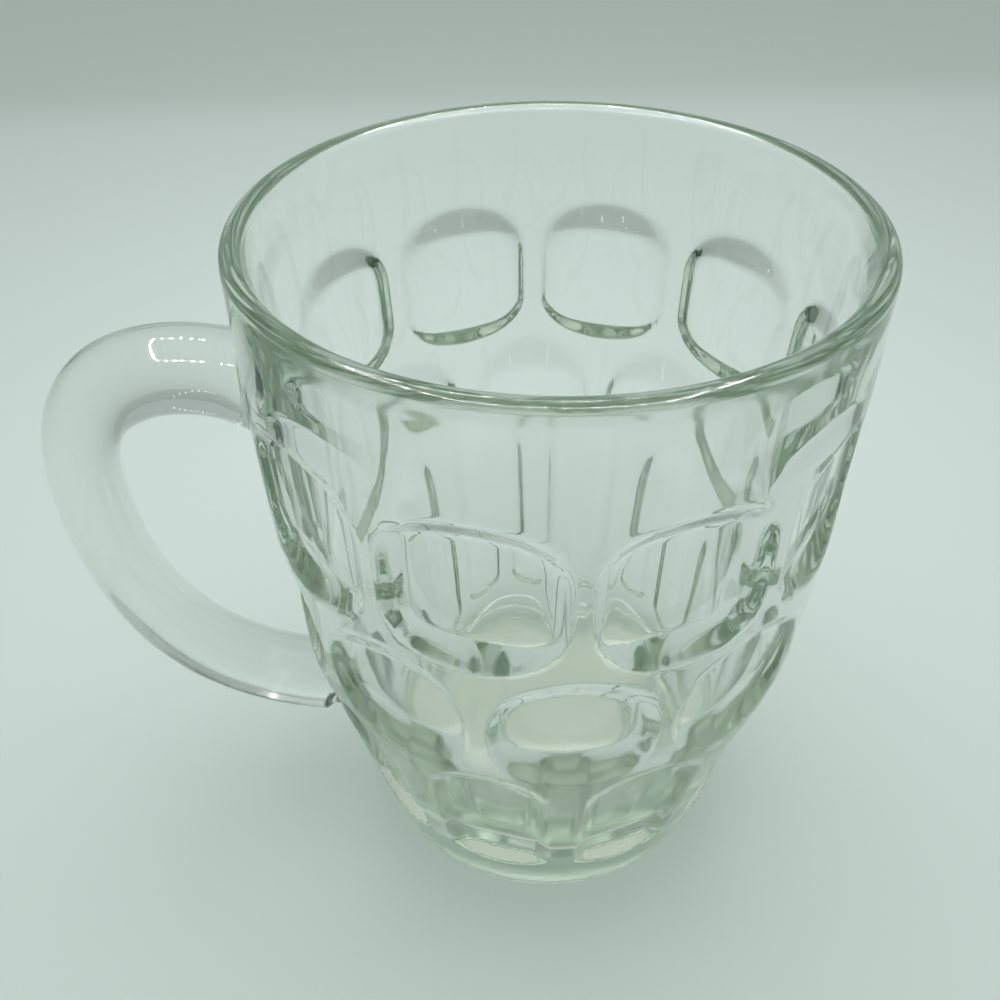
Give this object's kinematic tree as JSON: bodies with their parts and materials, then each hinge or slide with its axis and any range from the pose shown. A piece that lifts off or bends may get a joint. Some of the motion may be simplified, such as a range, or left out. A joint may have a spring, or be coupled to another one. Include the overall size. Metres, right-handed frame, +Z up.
{
  "type": "dimpled glass beer mug",
  "caption": "Pressed glass beer mug with staggered rows of dimples, a plain band under a rounded rim, a heavy foot and a looped handle fused to one side.",
  "frame": {"origin": "centre of the ring that the mug stands on", "axes": "+Z up along the mug's axis, the handle towards -X, +Y away from the viewer"},
  "size_m": [0.1357, 0.099, 0.127],
  "materials": {
    "body_glass": "pale green pressed glass, polished",
    "handle_glass": "nearly clear pressed glass, polished"
  },
  "bodies": {
    "root": {"mug_body": "body_glass", "handle": "handle_glass"}
  },
  "joints": []
}
